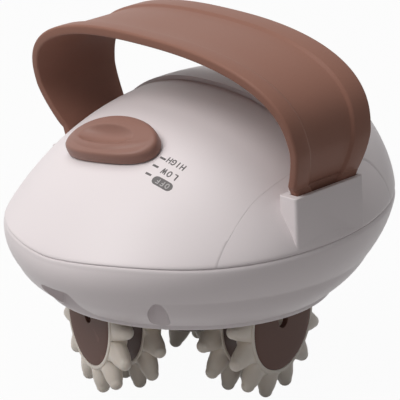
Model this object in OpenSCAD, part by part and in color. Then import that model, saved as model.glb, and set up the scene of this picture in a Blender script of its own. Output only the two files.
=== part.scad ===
// Handheld body massager: a domed body with a strap handle, a sliding speed
// knob and a motor-driven table that carries three finger rollers.
// Millimetres, +Z up, floor at z = 0, nose of the body towards -Y.

/* [Body] */
// Length of the body at its parting line
body_length = 150; // [148:0.5:154]
// Width of the body at its parting line
body_width = 134.6; // [132:0.2:137]
// Height of the dome above the parting line
dome_height = 47.3; // [46.5:0.1:49]
// How far back the top of the dome lies from the middle
dome_lean = 16.6; // [15:0.2:18]
// How far the nose dips below level
nose_dip = 3.7; // [3:0.1:4.4]
// Height of the parting line over the floor at mid length
parting_height = 65.8; // [65.4:0.1:67]
// Wall thickness of the covers
wall = 2.4; // [2:0.1:2.6]
// Radius of the round lip under the body
lip_radius = 52.5; // [52:0.1:53.5]
// Height of the lip over the floor
lip_height = 36; // [35:0.1:37]
// Height of the crease round the lower housing
crease_height = 48.9; // [48.4:0.1:49.6]

/* [Handle] */
// Clear half span of the handle at its widest
handle_span = 66.1; // [65:0.1:69]
// Height of the handle's widest point over the parting line
handle_shoulder = 37.3; // [35:0.1:41]
// Rise of the handle from there to its inner top
handle_rise = 27.8; // [25:0.1:29]
// Thickness of the handle
handle_thickness = 3.6; // [3:0.1:4.2]
// Width of the handle at its middle
handle_width = 44.4; // [40:0.2:48]
// Width of the handle where it enters its sockets
handle_foot_width = 29.2; // [27:0.2:30]
// Height of the handle sockets over the parting line
socket_height = 20; // [18:0.1:21]

/* [Knob] */
// Width of the knob across the body
knob_width = 42; // [38:0.5:44]
// Length of the knob along its slide
knob_length = 22; // [20.5:0.5:23]
// Height of the knob over the cover
knob_rise = 3.4; // [3:0.1:4.5]
// Travel from one switch position to the next
knob_step = 3.9; // [3:0.1:4]

/* [Rollers] */
// Reach of a finger tip from the axle
finger_reach = 29.3; // [28.8:0.1:29.8]
// Number of fingers on one wheel
finger_count = 13; // [12:1:14]
// Diameter of a finger at its tip
finger_tip = 6; // [5.2:0.1:6.4]
// Diameter of a finger at its root
finger_root = 9; // [7.6:0.1:9]
// Radius of a wheel's disc
disc_radius = 20; // [19:0.1:20.4]
// Thickness of a wheel's disc
disc_width = 7.2; // [7:0.1:7.4]
// Distance of the outer finger row from the table's axis
outer_row = 37.2; // [36.8:0.1:37.8]
// Distance of the inner finger row from the table's axis
inner_row = 24.1; // [23.8:0.1:24.6]
// Diameter of a roller axle
axle_diameter = 5; // [4:0.1:6]
// Turn of the three rollers about the table's axis
table_turn = 12.7; // [0:0.1:30]

/* [Drive] */
// Gear module
gear_module = 1; // [0.9:0.05:1.05]
// Teeth on the drive gear
drive_teeth = 44; // [42:2:48]
// Teeth on the compound gear's small wheel
small_teeth = 12; // [12:1:14]
// Teeth on the compound gear's large wheel
large_teeth = 32; // [30:1:34]
// Teeth on the motor pinion
pinion_teeth = 12; // [12:1:13]
// Diameter of the motor can
motor_diameter = 27.6; // [24:0.1:28]
// Length of the motor can
motor_length = 24; // [20:0.5:25]

/* [Hidden] */
$fn = 48;

WHITE = [0.9, 0.86, 0.86];
BROWN = [0.56, 0.4, 0.33];
DARK_BROWN = [0.32, 0.2, 0.17];
IVORY = [0.86, 0.83, 0.78];
STEEL = [0.72, 0.73, 0.75];
BRASS = [0.78, 0.63, 0.3];
GEAR_WHITE = [0.93, 0.92, 0.88];
BLACK = [0.12, 0.12, 0.13];
GREEN = [0.12, 0.36, 0.22];

running = 0.05;                 // radial clearance of a shaft in its bore
gap = 0.3;                      // clearance between neighbours
cut = 0.01;                     // how far a cut runs past the face it opens

half_l = body_length / 2;
half_w = body_width / 2;
egg = -0.03;                    // narrows the plan towards the nose
dome_power = 1.3;
dome_root = 2.21;
outline_steps = 48;
dome_rings = 8;
rear_step = 1.4;                // the rear cover rises this much more

crease_y = -3.7;
crease_half_w = 0.9 * half_w;
crease_half_l = 0.903 * half_l;

// The rollers' table and the round opening about it, in the level frame
axle_z = finger_reach;
tip_r = finger_tip / 2;
tip_room = 1.6;                 // between the finger tips' path and the skirt
well_radius = norm([outer_row, finger_reach - tip_r]) + tip_r + tip_room;
skirt_wall = 1.6;
skirt_radius = well_radius + skirt_wall;
nose_room = 10.9;               // between the skirt and the nose wall, for the jack
table_y = crease_y - crease_half_l + wall + nose_room + skirt_radius;
plate_z = 62;                   // underside of the gear plate
plate_thick = 2.5;

// Shape of the dome: its plan shrinks and leans back with height
function shrink(t) = pow(max(1 - pow(t, dome_power), 0), 1 / dome_root);
function plan_point(a, s, off, lean) =
    [(half_w * s + off) * cos(a) * (1 + egg * sin(a)),
     (half_l * s + off) * sin(a) + lean];

// The parting plane's own frame
module tilted() translate([0, 0, parting_height]) rotate([nose_dip, 0, 0]) children();

module mirror_pair() for (m = [0, 1]) mirror([m, 0, 0]) children();

// Joins stacked rings of equal point counts into one closed solid
module stack(rings) {
    n = len(rings[0]);
    m = len(rings);
    sides = [for (j = [0 : m - 2], i = [0 : n - 1]) let (k = (i + 1) % n)
        each [[j * n + i, (j + 1) * n + i, (j + 1) * n + k],
              [j * n + i, (j + 1) * n + k, j * n + k]]];
    low = [[for (i = [0 : n - 1]) i]];
    high = [[for (i = [0 : n - 1]) m * n - 1 - i]];
    polyhedron(points = [for (r = rings) each r], faces = concat(sides, low, high));
}

// The dome grown by off, rising extra higher, and reaching drop below the parting plane
module dome_solid(off = 0, extra = 0, drop = 0, steps = outline_steps, rings = dome_rings) {
    top = 0.985;
    rise = dome_height + off + extra;
    function ring(t, z) = [for (i = [0 : steps - 1])
        let (p = plan_point(360 * i / steps, shrink(t), off, dome_lean * t)) [p[0], p[1], z]];
    stack(concat(drop > 0 ? [ring(0, -drop)] : [],
        [for (i = [0 : rings]) let (t = top * sin(90 * i / rings)) ring(t, t * rise)],
        [ring(0.9985, rise)]));
}

// Lower housing between its lip, crease and parting line
module lower_solid(off = 0, from = 0, rise = 0) {
    c = cos(nose_dip);
    s = sin(nose_dip);
    lip_rim = 1.6;
    rim = 1.5;
    rim_inset = 0.5;
    band_bulge = 1.3;           // fullness between the parting line and the crease
    bowl_bulge = 1.6;           // and from the crease down to the lip
    angles = [for (i = [0 : outline_steps - 1]) 360 * i / outline_steps];
    function lip_ring(z) = [for (a = angles) [(lip_radius + off) * cos(a),
        table_y + (lip_radius + off) * sin(a), z]];
    function crease_ring() = [for (a = angles) [(crease_half_w + off) * cos(a),
        crease_y + (crease_half_l + off) * sin(a), crease_height]];
    function parting_ring(h, inset) = [for (a = angles)
        let (p = plan_point(a, 1, off - inset, 0))
        [p[0], p[1] * c - h * s, parting_height + p[1] * s + h * c]];
    // a ring between two others, full part of bulge outwards at the middle
    function between(low, high, t, bulge) = [for (i = [0 : outline_steps - 1])
        let (p = low[i] + t * (high[i] - low[i]), away = [p[0], p[1] - table_y],
             out = 4 * bulge * t * (1 - t) * away / norm(away))
        p + [out[0], out[1], 0]];
    lip = lip_ring(lip_height + lip_rim);
    crease = crease_ring();
    upper = parting_ring(-rim, 0);
    stack(concat(from == 0 ? [lip_ring(lip_height), lip] : [lip_ring(lip_height + from)],
        [for (t = [1 / 3, 2 / 3]) between(lip, crease, t, bowl_bulge)],
        [crease, between(crease, upper, 0.5, band_bulge), upper],
        [rise > 0 ? parting_ring(rise, 0) : parting_ring(0, rim_inset)]));
}

// Housing screws stand in wells at the lower edge, outside the skirt
post_r = 3.6;
screw_well_r = 3.8;
head_r = 2.4;
screw_seat_z = 50;
screw_seat = 2.2;
housing_screw_r = 1.4;
well_reach = skirt_radius + post_r + gap;
well_places = [for (a = [-53, -127, 53, 127])
    [well_reach * cos(a), table_y + well_reach * sin(a)]];

// Plug recess at the nose, with the charging jack upright above it
recess_half_w = 8.3;
recess_top_z = crease_height - 0.2;
recess_back_y = crease_y - crease_half_l + 8.6;
recess_wedge = 12.5;            // how far the recess flares along the lip
jack_y = crease_y - crease_half_l + 5;
jack_hole_r = 2.75;
jack_tube_r = 3.9;
jack_body_w = 11;
jack_body_l = 8.2;
jack_floor_z = recess_top_z + wall;
jack_head = 3.6;                // from the jack's top up to the parting height
jack_body_h = parting_height - jack_head - jack_floor_z;

// Side covers take over beyond the seams, and the covers meet under the handle
seam_x = 0.78 * half_w;
seam_gap = 0.15;
split_y = 3;

// Handle sockets, in the parting plane's frame
socket_front = -16.3;
socket_back = 17.1;
socket_mid = (socket_front + socket_back) / 2;
foot_y = 1.2;                   // middle of the handle's foot
socket_rim = 1.6;
socket_x = half_w - 1.4;        // outer face of the socket
foot_x = socket_x - socket_rim - gap - handle_thickness;
foot_depth = 14;
screw_spread = 9;
handle_screw_z = socket_height - 10.3;
handle_screw_r = 1.4;
handle_head_h = 1.8;

module dome_shell(extra = 0) difference() {
    dome_solid(extra = extra);
    translate([0, 0, -cut]) dome_solid(-wall, extra = extra, drop = 0.5);
}

module zone(x0, x1, y0, y1) translate([x0, y0, -cut]) cube([x1 - x0, y1 - y0, dome_height + 20]);

// Screw posts that hang from the covers to the screws' seats
module cover_posts(places, extra = 0) intersection() {
    tilted() dome_solid(-wall / 2, extra = extra, drop = 30, steps = 24, rings = 5);
    for (p = places) translate([p[0], p[1], screw_seat_z + screw_seat])
        cylinder(r = post_r, h = 60);
}

module pilot_holes(places) for (p = places) translate([p[0], p[1], screw_seat_z])
    cylinder(r = housing_screw_r, h = 14);

module front_cover() color(WHITE) difference() {
    union() {
        tilted() intersection() {
            dome_shell();
            zone(-seam_x, seam_x, -half_l - 5, split_y);
        }
        cover_posts([for (p = well_places) if (p[1] < 0) p]);
        board_posts();
    }
    pilot_holes(well_places);
    // slot for the knob's stem
    slot_w = stem_w + 2 * gap;
    slot_l = stem_l + 2 * (knob_step + gap);
    in_knob_frame() translate([-slot_w / 2, -slot_l / 2, -wall - 3]) cube([slot_w, slot_l, wall + 6]);
    board_screw_holes();
}

module rear_cover() color(WHITE) difference() {
    union() {
        tilted() intersection() {
            dome_shell(rear_step);
            zone(-seam_x, seam_x, split_y + seam_gap, half_l + 5);
        }
        cover_posts([for (p = well_places) if (p[1] > 0) p], rear_step);
    }
    pilot_holes(well_places);
}

// A side cover: its piece of the dome with the socket that takes the handle's foot
module side_cover() tilted() difference() {
    union() {
        intersection() {
            dome_shell();
            zone(seam_x + seam_gap, half_w + 5, -half_l, half_l);
        }
        socket_block();
        seat_tab();
    }
    foot_pocket();
    for (s = [-1, 1]) translate([foot_x - gap - wall - 1, socket_mid + s * screw_spread,
        handle_screw_z]) rotate([0, 90, 0]) cylinder(r = handle_screw_r + gap / 2, h = wall + 2);
    for (s = [-1, 1]) translate([tab_x, socket_mid + s * tab_spread, -1])
        cylinder(r = handle_screw_r + gap / 2, h = tab_thick + 2);
}

module socket_block() {
    inner_x = foot_x - gap - wall;
    translate([inner_x, socket_front, 0])
        cube([socket_x - inner_x, socket_back - socket_front, socket_height]);
}

module foot_pocket() translate([foot_x - gap, foot_y - handle_foot_width / 2 - gap,
        socket_height - foot_depth])
    cube([handle_thickness + 3 * gap, handle_foot_width + 2 * gap, foot_depth + 5]);

// Tab that screws the side cover down on the lower housing
tab_inner_x = skirt_radius + gap;
tab_x = (tab_inner_x + foot_x - wall) / 2 - 0.8;
tab_spread = 7;
tab_thick = 2.4;
tab_half_l = 11;
module seat_tab() translate([tab_inner_x, socket_mid - tab_half_l, 0])
    cube([foot_x - wall - tab_inner_x, 2 * tab_half_l, tab_thick]);

module side_cover_right() color(WHITE) side_cover();
module side_cover_left() color(WHITE) mirror([1, 0, 0]) side_cover();

module plug_recess() {
    translate([-recess_half_w, -half_l - 5, lip_height - 5])
        cube([2 * recess_half_w, half_l + 5 + recess_back_y, recess_top_z - lip_height + 5]);
    // the recess flares from the crease down to the lip
    mirror_pair() polyhedron(
        points = [[recess_half_w - cut, -half_l, recess_top_z - 2],
            [recess_half_w + recess_wedge, -half_l, lip_height - 1],
            [recess_half_w - cut, -half_l, lip_height - 1],
            [recess_half_w - cut, recess_back_y - 4, recess_top_z - 2],
            [recess_half_w + recess_wedge, recess_back_y + 9, lip_height - 1],
            [recess_half_w - cut, recess_back_y, lip_height - 1]],
        faces = [[0, 1, 2], [3, 5, 4], [0, 2, 5, 3], [1, 4, 5, 2], [0, 3, 4, 1]]);
}

ear_reach = skirt_radius + 4.2;
ear_r = 4;
ear_web = 4.8;                  // how far an ear's web reaches in over the skirt
ear_places = [for (a = [25, 155, 205, 335]) [ear_reach * cos(a), table_y + ear_reach * sin(a)]];
plate_screw_r = 1.3;

module lower_housing() color(WHITE) difference() {
    union() {
        difference() {
            lower_solid();
            lower_solid(off = -wall, from = wall, rise = 8);
        }
        intersection() {
            lower_solid();
            housing_insides();
        }
    }
    translate([0, table_y, lip_height - 1])
        cylinder(r = well_radius, h = plate_z - lip_height + 20, $fn = 96);
    for (p = well_places) translate([p[0], p[1], lip_height - 1]) {
        cylinder(r = screw_well_r, h = screw_seat_z - lip_height + 1);
        cylinder(r = housing_screw_r + gap / 2, h = screw_seat_z - lip_height + 5);
    }
    for (p = ear_places) translate([p[0], p[1], plate_z - 10])
        cylinder(r = plate_screw_r, h = 12);
    tilted() mirror_pair() for (s = [-1, 1]) translate([tab_x, socket_mid + s * tab_spread, -8])
        cylinder(r = handle_screw_r, h = 10);
    plug_recess();
    translate([0, jack_y, recess_top_z - 1]) cylinder(r = jack_tube_r, h = wall + 3);
}

// Skirt, screw bosses and the box over the plug recess, clipped by the housing's outside
module housing_insides() {
    translate([0, table_y, lip_height])
        cylinder(r = skirt_radius, h = plate_z - lip_height, $fn = 96);
    for (p = well_places) translate([p[0], p[1], lip_height])
        cylinder(r = screw_well_r + 1.6, h = screw_seat_z + screw_seat - lip_height);
    for (p = ear_places) translate([p[0], p[1], lip_height + 8])
        cylinder(r = ear_r + 0.4, h = plate_z - lip_height - 8);
    tilted() mirror_pair() translate([tab_inner_x, socket_mid - tab_half_l, -16])
        cube([half_w - tab_inner_x, 2 * tab_half_l, 16]);
    translate([-recess_half_w - wall, -half_l, lip_height])
        cube([2 * (recess_half_w + wall), half_l + recess_back_y + wall,
            recess_top_z + wall - lip_height]);
}

// A pan-head screw with a cross recess, head down and tip up
module screw(r, length, head_r, head_h) {
    slot = 0.3 * r;
    difference() {
        cylinder(r = head_r, h = head_h);
        for (a = [0, 90]) rotate([0, 0, a]) translate([-head_r * 0.6, -slot, -cut])
            cube([head_r * 1.2, 2 * slot, head_h * 0.5]);
    }
    translate([0, 0, head_h - cut]) cylinder(r = r, h = length + cut);
}

module housing_screws() color(STEEL) {
    for (p = well_places) translate([p[0], p[1], screw_seat_z - 2])
        screw(housing_screw_r, 9, head_r, 2);
    tilted() mirror_pair() for (s = [-1, 1])
        translate([tab_x, socket_mid + s * tab_spread, tab_thick + 2]) rotate([180, 0, 0])
            screw(housing_screw_r, 9, head_r, 2);
}

module handle_screws() color(STEEL) tilted() mirror_pair() for (s = [-1, 1])
    translate([foot_x - gap - wall - handle_head_h, socket_mid + s * screw_spread, handle_screw_z])
        rotate([0, 90, 0]) screw(handle_screw_r, wall + gap + 3, head_r, handle_head_h);

// Handle: a flat strap swept over a squared arch, wider at its middle
arch_power = 2.4;               // squareness of the arch, sideways
arch_rise_power = 2.72;         // and upwards
leg_power = 1.4;
leg_base = 3;                   // the foot runs straight this far over its socket
rear_grow = 3.2;                // how much the rear edge spreads over the foot's
front_power = 0.84;
rear_power = 0.3;
arch_steps = 20;
leg_steps = 5;
band = 6;                       // width of the raised band along each edge
band_step = 0.5;
edge_round = 0.9;
leg_base_z = socket_height + leg_base;
right_leg = concat(
    [[foot_x, socket_height - foot_depth + gap], [foot_x, socket_height]],
    [for (i = [0 : leg_steps - 1]) let (t = i / leg_steps)
        [handle_span - (handle_span - foot_x) * pow(1 - t, leg_power),
         leg_base_z + (handle_shoulder - leg_base_z) * t]]);
arch = [for (i = [0 : arch_steps]) let (a = 180 * i / arch_steps)
    [handle_span * sign(cos(a)) * pow(abs(cos(a)), 2 / arch_power),
     handle_shoulder + handle_rise * pow(abs(sin(a)), 2 / arch_rise_power)]];
handle_path = concat(right_leg, arch,
    [for (i = [len(right_leg) - 1 : -1 : 0]) [-right_leg[i][0], right_leg[i][1]]]);

function path_normal(i) = let (a = handle_path[max(i - 1, 0)],
    b = handle_path[min(i + 1, len(handle_path) - 1)], d = b - a) [d[1], -d[0]] / norm(d);
// Height over the socket, from 0 there to 1 at the top, and the strap's edges at it
function climb(z) = min(1, max(0, (z - socket_height)
    / (handle_shoulder + handle_rise - socket_height)));
function strap_front(z) = foot_y - handle_foot_width / 2
    - (handle_width - handle_foot_width - rear_grow) * pow(climb(z), front_power);
function strap_rear(z) = foot_y + handle_foot_width / 2 + rear_grow * pow(climb(z), rear_power);

// Section of the strap: across it and outwards from its inner face
function strap_section(w, t) = [
    [-w, t - edge_round], [-w + edge_round, t], [-w + band - 1, t], [-w + band, t - band_step],
    [w - band, t - band_step], [w - band + 1, t], [w - edge_round, t], [w, t - edge_round],
    [w, edge_round], [w - edge_round, 0], [-w + edge_round, 0], [-w, edge_round]];

module handle_strap() color(BROWN) tilted() difference() {
    stack([for (i = [0 : len(handle_path) - 1])
        let (p = handle_path[i], n = path_normal(i),
             front = strap_front(p[1]), rear = strap_rear(p[1]))
        [for (q = strap_section((rear - front) / 2, handle_thickness))
            [p[0] + n[0] * q[1], (rear + front) / 2 + q[0], p[1] + n[1] * q[1]]]]);
    mirror_pair() for (s = [-1, 1])
        translate([foot_x - 2, socket_mid + s * screw_spread, handle_screw_z])
            rotate([0, 90, 0]) cylinder(r = handle_screw_r, h = handle_thickness + 1.4);
}

// Knob frame: on the cover's surface at mid width, +Y up the slope, +Z out of it
knob_t = 0.68;
slope_step = 0.02;
function back_line(t) = [dome_lean * t - half_l * shrink(t), dome_height * t];
knob_place = back_line(knob_t);
knob_run = back_line(knob_t + slope_step) - back_line(knob_t - slope_step);
knob_slope = atan2(knob_run[1], knob_run[0]);
knob_lift = 1;                  // running gap between the knob and the cover
stem_w = 6;
stem_l = 4;
carrier_w = 16;
carrier_l = 9;
carrier_thick = 1.6;
carrier_z = -wall - 3.4;        // underside of the carrier plate
board_z = -15;                  // top of the board
board_thick = 1.6;
board_w = 40;
board_l = 20;
board_post_x = 16;
board_screw_r = 1.1;
switch_h = 5;
switch_w = 16;
switch_l = 15;
lever_w = 3;
lever_sink = 1.5;
prong_h = 2.4;
prong_l = 1.4;

module in_knob_frame() tilted() translate([0, knob_place[0], knob_place[1]])
    rotate([knob_slope, 0, 0]) children();

module knob_outline() intersection() {
    scale([1, 0.95 * knob_length / knob_width]) circle(d = knob_width * 1.05, $fn = 72);
    square([knob_width, knob_length], center = true);
}

module speed_knob() color(BROWN) union() {
    difference() {
        intersection() {
            tilted() dome_solid(knob_rise + knob_lift);
            in_knob_frame() translate([0, 0, -12]) linear_extrude(24) knob_outline();
        }
        tilted() dome_solid(knob_lift, drop = 1);
        // lens-shaped dent for a fingertip
        in_knob_frame() translate([0, 3, knob_rise + 24.4]) sphere(r = 25, $fn = 64);
    }
    in_knob_frame() translate([-stem_w / 2, -stem_l / 2, carrier_z + carrier_thick])
        cube([stem_w, stem_l, knob_lift + 1 - carrier_z - carrier_thick]);
}

module knob_carrier() color(BLACK) in_knob_frame() {
    translate([-carrier_w / 2, -carrier_l / 2, carrier_z])
        cube([carrier_w, carrier_l, carrier_thick]);
    // fork that takes the switch lever along
    for (s = [0, 1]) mirror([0, s, 0])
        translate([-lever_w, lever_w / 2, carrier_z - prong_h])
            cube([2 * lever_w, prong_l, prong_h + cut]);
}

module switch_lever() color(IVORY) in_knob_frame()
    translate([-lever_w / 2, -lever_w / 2, board_z + switch_h - lever_sink])
        cube([lever_w, lever_w, carrier_z - board_z - switch_h + lever_sink]);

module switch_body() color(STEEL) in_knob_frame() difference() {
    translate([-switch_w / 2, -switch_l / 2, board_z]) cube([switch_w, switch_l, switch_h]);
    translate([-lever_w / 2 - gap, -lever_w / 2 - knob_step - gap,
            board_z + switch_h - lever_sink - gap])
        cube([lever_w + 2 * gap, lever_w + 2 * knob_step + 2 * gap, lever_sink + 1]);
}

module board_posts() intersection() {
    in_knob_frame() for (s = [-1, 1]) translate([s * board_post_x, 0, board_z])
        cylinder(r = 2.5, h = -board_z);
    tilted() dome_solid(-wall / 2, steps = 24, rings = 5);
}

module board_screw_holes() in_knob_frame() for (s = [-1, 1])
    translate([s * board_post_x, 0, board_z - board_thick - 1])
        cylinder(r = board_screw_r, h = 7);

module control_board() color(GREEN) difference() {
    in_knob_frame() translate([-board_w / 2, -board_l / 2, board_z - board_thick])
        cube([board_w, board_l, board_thick]);
    board_screw_holes();
}

module board_screws() color(STEEL) in_knob_frame() for (s = [-1, 1])
    translate([s * board_post_x, 0, board_z - board_thick - 1.4])
        screw(board_screw_r, 5, 2.1, 1.4);

module power_jack() color(BLACK) translate([0, jack_y, 0]) difference() {
    union() {
        translate([-jack_body_w / 2, -jack_body_l / 2 + 1.3, jack_floor_z])
            cube([jack_body_w, jack_body_l, jack_body_h]);
        translate([0, 0, recess_top_z]) cylinder(r = jack_tube_r, h = wall + 1);
    }
    translate([0, 0, recess_top_z - cut]) cylinder(r = jack_hole_r, h = jack_bore_l + cut);
}
jack_bore_l = wall + jack_body_h - 2;

// Gears
pressure = 20;
backlash = 0.14;
flank_steps = 3;
function involute(base, phi) = [base * (cos(phi) + phi * PI / 180 * sin(phi)),
    base * (sin(phi) - phi * PI / 180 * cos(phi))];
function spin(p, a) = [p[0] * cos(a) - p[1] * sin(a), p[0] * sin(a) + p[1] * cos(a)];
function roll_at(base, r) = sqrt(max(pow(r / base, 2) - 1, 0)) * 180 / PI;

module gear_outline(teeth) {
    pitch = gear_module * teeth / 2;
    base = pitch * cos(pressure);
    tip = pitch + 0.85 * gear_module;
    root = pitch - 1.15 * gear_module;
    at_pitch = involute(base, roll_at(base, pitch));
    lead = atan2(at_pitch[1], at_pitch[0]) + 90 / teeth - backlash / pitch * 90 / PI;
    start = max(root, base);
    flank = [for (i = [0 : flank_steps]) let (r = start + (tip - start) * i / flank_steps)
        spin(involute(base, roll_at(base, r)), -lead)];
    foot = root / norm(flank[0]) * flank[0];
    tooth = concat([spin([root, 0], -180 / teeth), foot], flank,
        [for (i = [flank_steps : -1 : 0]) [flank[i][0], -flank[i][1]]], [[foot[0], -foot[1]]]);
    polygon([for (k = [0 : teeth - 1], p = tooth) spin(p, k * 360 / teeth)]);
}

drive_z = 66;
drive_thick = 5;
large_z = 72.5;
large_thick = 4;
motor_plate_z = 79;
motor_plate_thick = 1.6;
motor_z = motor_plate_z + motor_plate_thick;
shaft_r = 4;
pin_r = 1.5;
motor_shaft_r = 1;
pillar_r = 3.5;
pillar_screw_r = 1.2;
pillar_hole = 9;
compound_angle = 150;           // direction of the compound gear from the table's axis
motor_angle = 25;               // direction of the motor from the compound gear
compound_reach = gear_module * (drive_teeth + small_teeth) / 2;
motor_reach = gear_module * (large_teeth + pinion_teeth) / 2;
compound_place = [0, table_y] + compound_reach * [cos(compound_angle), sin(compound_angle)];
motor_place = compound_place + motor_reach * [cos(motor_angle), sin(motor_angle)];
pillar_places = [compound_place + [-16, -17], motor_place + [18, 5], motor_place + [-4, 17]];

module at_table() translate([0, table_y, 0]) children();
module at_compound() translate([compound_place[0], compound_place[1], 0]) children();
module at_motor() translate([motor_place[0], motor_place[1], 0]) children();

module gear_plate() color(GEAR_WHITE) difference() {
    union() {
        at_table() translate([0, 0, plate_z])
            cylinder(r = skirt_radius, h = plate_thick, $fn = 96);
        for (p = ear_places) {
            translate([p[0], p[1], plate_z]) cylinder(r = ear_r, h = plate_thick);
            translate([p[0] * 0.96 - ear_web / 2, p[1] - ear_r, plate_z])
                cube([ear_web, 2 * ear_r, plate_thick]);
        }
        for (p = pillar_places) translate([p[0], p[1], plate_z])
            cylinder(r = pillar_r, h = motor_plate_z - plate_z);
    }
    at_table() translate([0, 0, plate_z - 1]) cylinder(r = shaft_r + 2, h = 8);
    at_compound() translate([0, 0, plate_z - 1]) cylinder(r = pin_r, h = 8);
    for (p = pillar_places) translate([p[0], p[1], motor_plate_z - pillar_hole + 1])
        cylinder(r = pillar_screw_r, h = pillar_hole);
    for (p = ear_places) translate([p[0], p[1], plate_z - 1])
        cylinder(r = plate_screw_r + gap / 2, h = 6);
}

module plate_screws() color(STEEL) for (p = ear_places)
    translate([p[0], p[1], plate_z + plate_thick + 1.8]) rotate([180, 0, 0])
        screw(plate_screw_r, 9, 2.6, 1.8);

module table_bush() color(BRASS) at_table() translate([0, 0, plate_z - 0.4]) difference() {
    union() {
        cylinder(r = shaft_r + 2, h = plate_thick + 0.4);
        cylinder(r = shaft_r + 3.2, h = 0.4);
    }
    translate([0, 0, -1]) cylinder(r = shaft_r + running, h = 8);
}

module motor_plate() color(STEEL) difference() {
    hull() for (p = concat(pillar_places, [compound_place, motor_place]))
        translate([p[0], p[1], motor_plate_z]) cylinder(r = 5, h = motor_plate_thick, $fn = 32);
    translate([0, 0, motor_plate_z - 1]) {
        at_compound() cylinder(r = pin_r, h = 4);
        at_motor() cylinder(r = 3, h = 4);
        at_motor() for (s = [-1, 1]) translate([s * 8, 0, 0]) cylinder(r = 1.2, h = 4);
        for (p = pillar_places) translate([p[0], p[1], 0])
            cylinder(r = pillar_screw_r + gap / 2, h = 4);
    }
}

module motor_plate_screws() color(STEEL) for (p = pillar_places)
    translate([p[0], p[1], motor_z + 1.6]) rotate([180, 0, 0]) screw(pillar_screw_r, 7, 2.4, 1.6);

module motor() color(STEEL) at_motor() translate([0, 0, motor_z]) difference() {
    union() {
        cylinder(d = motor_diameter, h = motor_length, $fn = 72);
        translate([0, 0, motor_length - cut]) cylinder(r = 5, h = 2);
    }
    for (s = [-1, 1]) translate([s * 8, 0, -1]) cylinder(r = 1, h = 5);
    translate([0, 0, -1]) cylinder(r = motor_shaft_r + running, h = motor_length);
}

module motor_screws() color(STEEL) at_motor() for (s = [-1, 1])
    translate([s * 8, 0, motor_plate_z - 1.4]) screw(1, 5, 1.9, 1.4);

pinion_z = large_z - 0.5;
module motor_shaft() color(STEEL) at_motor() translate([0, 0, pinion_z])
    cylinder(r = motor_shaft_r, h = motor_z + motor_length - 2 - pinion_z);

module motor_pinion() color(BRASS) at_motor() translate([0, 0, pinion_z]) difference() {
    rotate([0, 0, motor_angle + 180 + 180 / pinion_teeth])
        linear_extrude(large_thick + 1) gear_outline(pinion_teeth);
    translate([0, 0, -1]) cylinder(r = motor_shaft_r, h = large_thick + 3);
}

// Each wheel is turned so that a tooth faces the gap of the one it meets
module compound_gear() color(GEAR_WHITE) at_compound() difference() {
    union() {
        translate([0, 0, drive_z]) rotate([0, 0, compound_angle + 180 + 180 / small_teeth])
            linear_extrude(large_z - drive_z + cut) gear_outline(small_teeth);
        translate([0, 0, large_z]) rotate([0, 0, motor_angle])
            linear_extrude(large_thick) gear_outline(large_teeth);
        translate([0, 0, large_z + large_thick - cut])
            cylinder(r = 3.5, h = motor_plate_z - large_z - large_thick - gap);
        translate([0, 0, plate_z + plate_thick + gap])
            cylinder(r = 3.5, h = drive_z - plate_z - plate_thick - gap + cut);
    }
    translate([0, 0, plate_z]) cylinder(r = pin_r + running, h = 30);
}

module compound_pin() color(STEEL) at_compound() translate([0, 0, plate_z])
    cylinder(r = pin_r, h = motor_z - plate_z);

module drive_gear() color(GEAR_WHITE) at_table() difference() {
    union() {
        translate([0, 0, drive_z]) rotate([0, 0, compound_angle])
            linear_extrude(drive_thick) gear_outline(drive_teeth);
        translate([0, 0, plate_z + plate_thick + gap])
            cylinder(r = shaft_r + 3, h = drive_z - plate_z - plate_thick - gap + cut);
    }
    translate([0, 0, drive_z - 6]) cylinder(r = shaft_r, h = 20);
    // ring-shaped relief in the web
    translate([0, 0, drive_z + drive_thick - 2]) difference() {
        cylinder(r = gear_module * drive_teeth / 2 - 4, h = 3);
        translate([0, 0, -1]) cylinder(r = shaft_r + 3, h = 5);
    }
}

table_top_z = plate_z - 0.7;
shaft_sink = 10;
shaft_top_z = drive_z + drive_thick + 1;
table_screw_r = 1.5;

module table_shaft() color(STEEL) at_table() difference() {
    translate([0, 0, table_top_z - shaft_sink])
        cylinder(r = shaft_r, h = shaft_top_z - table_top_z + shaft_sink);
    translate([0, 0, table_top_z - shaft_sink - 1]) cylinder(r = table_screw_r, h = 9);
}

module shaft_clip() color(STEEL) at_table() translate([0, 0, drive_z + drive_thick])
    difference() {
        cylinder(r = shaft_r + 2, h = 0.8);
        translate([0, 0, -1]) cylinder(r = shaft_r, h = 3);
        translate([0, -1.5, -1]) cube([10, 3, 3]);
    }

// The table: a disc under the gear plate and a hub with three axle bosses
hub_r = 13;
hub_low_z = axle_z - 8;
hub_bore_r = 5;
table_r = 21.6;
table_disc = 2;
axle_r = axle_diameter / 2;
axle_start = hub_bore_r + 1.5;
axle_end = outer_row - disc_width / 2 + 1.2;
boss_r = 6;
boss_end = inner_row - disc_width / 2 - 0.1;
screw_roof = 2;                 // table material between the screw's head and the shaft

// Along a roller's axle from the table's axis, with +X turned down
module at_roller(i) translate([0, table_y, axle_z]) rotate([0, 0, table_turn + 120 * i])
    rotate([0, 90, 0]) children();

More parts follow.
